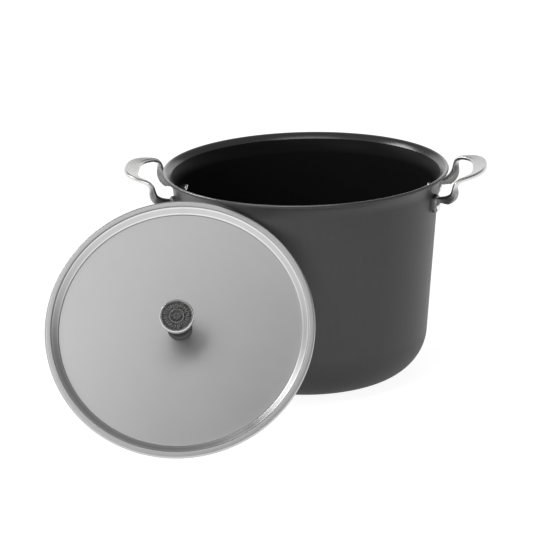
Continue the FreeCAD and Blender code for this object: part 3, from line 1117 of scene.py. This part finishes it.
def model_fixings():
    """The washer under the lid, and the cross-headed screw that comes up through it."""
    under = DISH_MIDDLE - SHEET
    seat = under - WASHER_THICKNESS
    washer = turned("washer_ring", [
        (SCREW_HOLE, seat, 0.1), (WASHER_RADIUS, seat, 0.2),
        (WASHER_RADIUS, under, 0.2), (SCREW_HOLE, under, 0),
    ], segments=48, closed=True, steps=4)
    head_radius, head_height = SCREW_HEAD
    head_foot = seat - head_height
    screw_top = DISH_MIDDLE + SCREW_REACH
    screw = turned("screw_body", [
        (0, head_foot, 0), (head_radius - SCREW_HEAD_EDGE, head_foot, 1.2),
        (head_radius, seat - SCREW_FLANK, 0.3), (head_radius, seat, 0.1),
        (SCREW_RADIUS, seat, 0), (SCREW_RADIUS, screw_top, 0.3), (0, screw_top, 0),
    ], segments=48, steps=4)
    for azimuth in (0, math.pi / 2):
        arm = start_block(DRIVE_ARM, (0, 0, head_foot))
        cut_away(screw, settle(arm, Matrix.Rotation(azimuth, 4, "Z")))
    for piece, node in ((washer, "knob_washer"), (screw, "knob_screw")):
        settle(piece, LEAN)
        dress(piece, SCREW_STEEL)
        belongs(piece, "lid", "fastener", node)


model_pot()
model_rivets()
model_handles()
model_lid_sheet()
model_knob()
model_medallion()
model_fixings()


# --- the studio round it -------------------------------------------------------------
def white_background(name, fill):
    """White paper: lit like the rest, and filled up to white where a camera or mirror looks."""
    material = bpy.data.materials.new(name)
    material.use_nodes = True
    tree = material.node_tree
    shader = tree.nodes["Principled BSDF"]
    shader.inputs["Base Color"].default_value = (*grey(PAPER_TONE), 1)
    shader.inputs["Roughness"].default_value = 0.9
    shader.inputs["Specular IOR Level"].default_value = 0.0
    shader.inputs["Emission Color"].default_value = (1, 1, 1, 1)
    ray = tree.nodes.new("ShaderNodeLightPath").outputs
    mirrored = maths(tree, "MAXIMUM", ray["Is Glossy Ray"], ray["Is Transmission Ray"])
    seen = maths(tree, "MAXIMUM", ray["Is Camera Ray"], mirrored)
    link(tree, maths(tree, "MULTIPLY", seen, fill), shader.inputs["Emission Strength"])
    return material


def studio_cove():
    """A round white floor whose edge curves up into a wall all round."""
    cove = outline("studio_cove", [
        (0, 0, 0), (COVE_RADIUS, 0, COVE_SWEEP), (COVE_RADIUS, COVE_WALL, 0),
    ])
    turn_round(segments=96)
    make_active(cove)
    bpy.ops.object.shade_smooth()
    dress(cove, white_background("white_paper", COVE_FILL))


def studio_world():
    world = bpy.data.worlds.new("studio_room")
    bpy.context.scene.world = world
    world.use_nodes = True
    background = world.node_tree.nodes["Background"]
    background.inputs["Color"].default_value = (1, 1, 1, 1)
    background.inputs["Strength"].default_value = ROOM_LEVEL


def softbox(name, place, aim, width, height, power):
    light = bpy.data.lights.new(name, "AREA")
    light.shape = "RECTANGLE"
    light.size = width
    light.size_y = height
    light.energy = power
    lamp = bpy.data.objects.new(name, light)
    lamp.visible_camera = False
    bpy.context.collection.objects.link(lamp)
    turn = (Vector(aim) - Vector(place)).to_track_quat("-Z", "Y")
    lamp.matrix_world = Matrix.Translation(place) @ turn.to_matrix().to_4x4()


def photo_camera():
    """The photograph's view: a long lens, a little above the lip and a little to the right."""
    data = bpy.data.cameras.new("photo_camera")
    data.sensor_width = SENSOR_WIDTH
    data.lens = FOCAL_PIXELS / PHOTO_WIDTH * SENSOR_WIDTH
    data.clip_end = 50
    camera = bpy.data.objects.new("photo_camera", data)
    bpy.context.collection.objects.link(camera)
    back = CAMERA_DISTANCE * math.cos(CAMERA_ELEVATION)
    place = Vector((0, -back, AIM_HEIGHT + CAMERA_DISTANCE * math.sin(CAMERA_ELEVATION)))
    look = Matrix.Rotation(math.pi / 2 - CAMERA_ELEVATION, 4, "X")
    trim = (
        Matrix.Rotation(CAMERA_PAN, 4, "Y")
        @ Matrix.Rotation(CAMERA_TILT, 4, "X")
        @ Matrix.Rotation(-CAMERA_ROLL, 4, "Z")
    )
    turn = Matrix.Rotation(CAMERA_TURN, 4, "Z")
    camera.matrix_world = turn @ Matrix.Translation(place) @ look @ trim
    bpy.context.scene.camera = camera


studio_cove()
studio_world()
for each in SOFTBOXES:
    softbox(*each)
photo_camera()
bpy.context.scene.view_settings.view_transform = "Standard"
